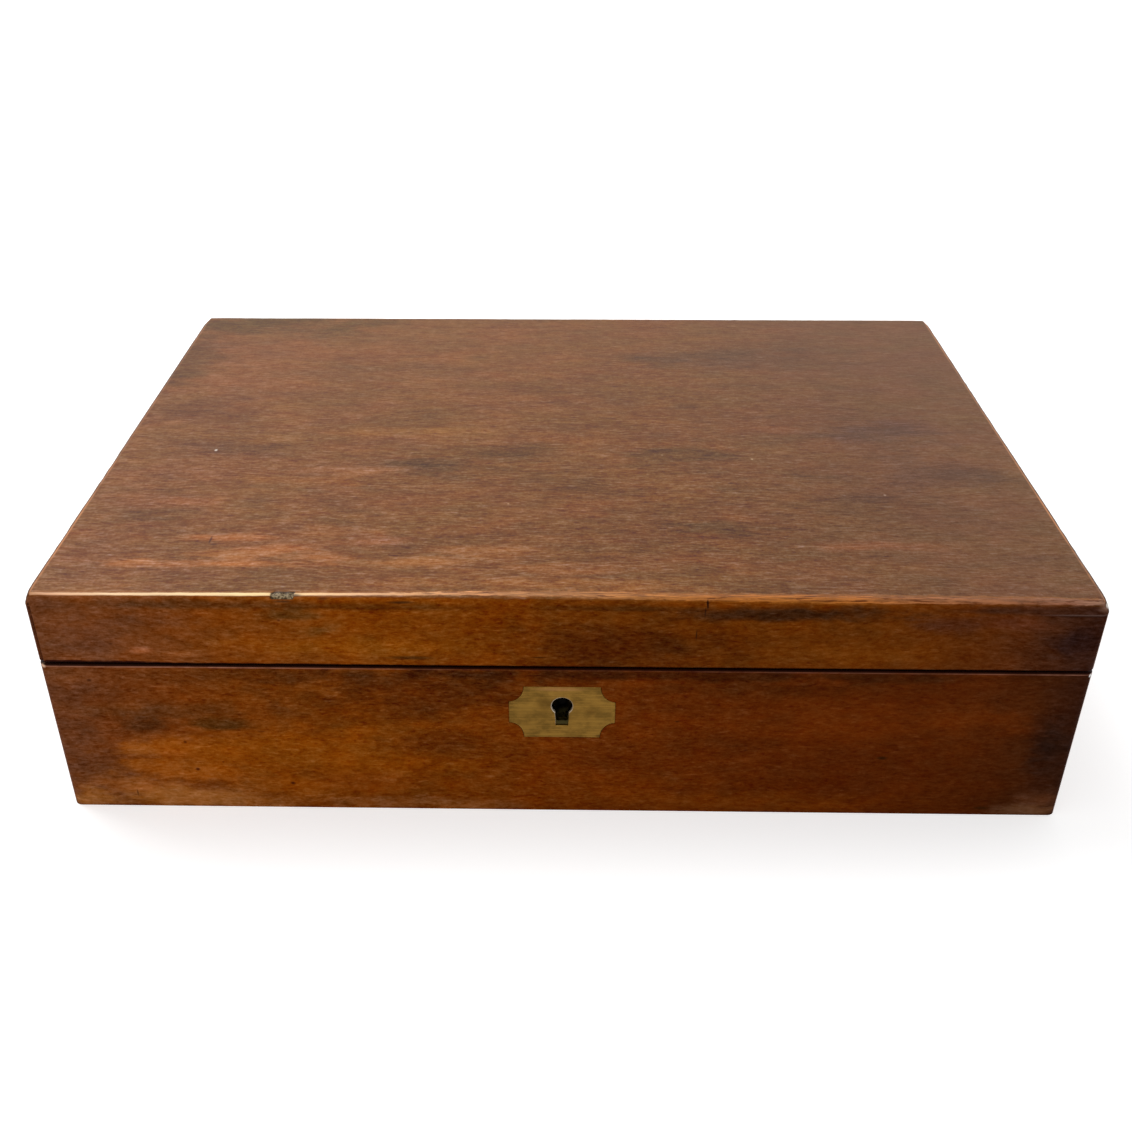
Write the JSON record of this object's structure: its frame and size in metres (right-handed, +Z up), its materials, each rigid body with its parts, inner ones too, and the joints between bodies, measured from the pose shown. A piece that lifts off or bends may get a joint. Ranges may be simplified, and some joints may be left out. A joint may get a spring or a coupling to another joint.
{
  "type": "writing slope",
  "caption": "Closed wooden writing slope with a sloping seam, inlaid brass keyhole plate, hinged lid, leather writing flaps, pen tray and ink bottles inside.",
  "frame": {"origin": "on the surface that the box stands on, below the middle of the box with its hinge knuckles", "axes": "+X along the width, to the right as seen from the lock side; the lock faces -Y; +Z up"},
  "size_m": [0.349, 0.2568, 0.0886],
  "materials": {
    "mahogany": "aged french polish, satin and worn at the arrises",
    "inner_mahogany": "oiled, matt",
    "writing_leather": "thin skiver with a plain gilt line",
    "tab_leather": "matt",
    "glass": "clear, slightly green",
    "steel": "dull drawn wire",
    "aged_brass": "dull and scratched",
    "brass": "filed and lacquered, slightly dull"
  },
  "bodies": {
    "base": {"base_front_board": "mahogany", "base_back_board": "mahogany", "base_left_board": "mahogany", "base_right_board": "mahogany", "base_bottom_board": "inner_mahogany", "escutcheon": "aged_brass", "pen_partition": "inner_mahogany", "ink_divider_left": "inner_mahogany", "ink_divider_right": "inner_mahogany", "pen_tray_cleats": "inner_mahogany", "base_hinge_rail": "inner_mahogany", "base_ledge_left": "inner_mahogany", "base_ledge_right": "inner_mahogany", "base_hinge_leaves": "brass", "base_hinge_screws": "brass", "main_hinge_pins": "steel", "lock_plate": "brass", "lock_cap": "brass", "bolt_studs": "steel", "key_pin": "steel", "lock_screws": "brass", "base_flap_rail_leaves": "brass", "base_flap_hinge_pins": "steel", "base_rail_screws": "brass"},
    "lid": {"lid_top_board": "mahogany", "lid_front_board": "mahogany", "lid_back_board": "mahogany", "lid_left_board": "mahogany", "lid_right_board": "mahogany", "link_plate": "brass", "link_plate_screws": "brass", "lid_hinge_leaves": "brass", "lid_hinge_screws": "brass", "lid_front_strip": "inner_mahogany", "lid_hinge_rail": "inner_mahogany", "lid_ledge_left": "inner_mahogany", "lid_ledge_right": "inner_mahogany", "lid_flap_rail_leaves": "brass", "lid_flap_hinge_pins": "steel", "lid_rail_screws": "brass"},
    "base_flap": {"base_flap_board": "inner_mahogany", "base_flap_leather": "writing_leather", "base_flap_tab": "tab_leather", "base_flap_hinge_leaves": "brass", "base_flap_screws": "brass"},
    "lid_flap": {"lid_flap_board": "inner_mahogany", "lid_flap_leather": "writing_leather", "lid_flap_tab": "tab_leather", "lid_flap_hinge_leaves": "brass", "lid_flap_screws": "brass"},
    "lock_bolt": {"lock_bolt": "brass", "bolt_spring": "steel"},
    "pen_tray": {"pen_tray": "inner_mahogany"},
    "ink_bottle_left": {"ink_bottle_left": "glass"},
    "ink_bottle_right": {"ink_bottle_right": "glass"},
    "ink_cap_left": {"ink_cap_left": "brass"},
    "ink_cap_right": {"ink_cap_right": "brass"}
  },
  "joints": [
    {"name": "lid_hinge", "type": "hinge", "parent": "base", "child": "lid", "pos_m": [0, 0.12607, 0.0443], "axis": [-1, 0, 0], "range_deg": [0, 180]},
    {"name": "base_flap_hinge", "type": "hinge", "parent": "base", "child": "base_flap", "pos_m": [0, 0.10569, 0.04447], "axis": [-1, 0, 0], "range_deg": [0, 90]},
    {"name": "lid_flap_hinge", "type": "hinge", "parent": "lid", "child": "lid_flap", "pos_m": [0, 0.10586, 0.04697], "axis": [1, 0, 0], "range_deg": [0, 90]},
    {"name": "lock_bolt_slide", "type": "slide", "parent": "base", "child": "lock_bolt", "axis": [-1, 0, 0], "range_m": [0, 0.0038]},
    {"name": "pen_tray_lift", "type": "slide", "parent": "base", "child": "pen_tray", "axis": [0, 0, 1], "range_m": [0, 0.035]},
    {"name": "ink_bottle_left_lift", "type": "slide", "parent": "base", "child": "ink_bottle_left", "axis": [0, 0, 1], "range_m": [0, 0.06]},
    {"name": "ink_bottle_right_lift", "type": "slide", "parent": "base", "child": "ink_bottle_right", "axis": [0, 0, 1], "range_m": [0, 0.06]},
    {"name": "ink_cap_left_turn", "type": "hinge", "parent": "ink_bottle_left", "child": "ink_cap_left", "pos_m": [-0.143, -0.09688, 0.046], "axis": [0, 0, 1], "range_deg": [0, 360]},
    {"name": "ink_cap_right_turn", "type": "hinge", "parent": "ink_bottle_right", "child": "ink_cap_right", "pos_m": [0.143, -0.09688, 0.046], "axis": [0, 0, 1], "range_deg": [0, 360]}
  ],
  "couplings": [
    {"joint": "base_flap_hinge", "follows": "lid_hinge", "ratio": 0.5},
    {"joint": "lid_flap_hinge", "follows": "lid_hinge", "ratio": 0.5},
    {"joint": "pen_tray_lift", "follows": "lid_hinge", "m_per_rad": 0.0111},
    {"joint": "ink_bottle_left_lift", "follows": "lid_hinge", "m_per_rad": 0.019},
    {"joint": "ink_bottle_right_lift", "follows": "lid_hinge", "m_per_rad": 0.019}
  ]
}
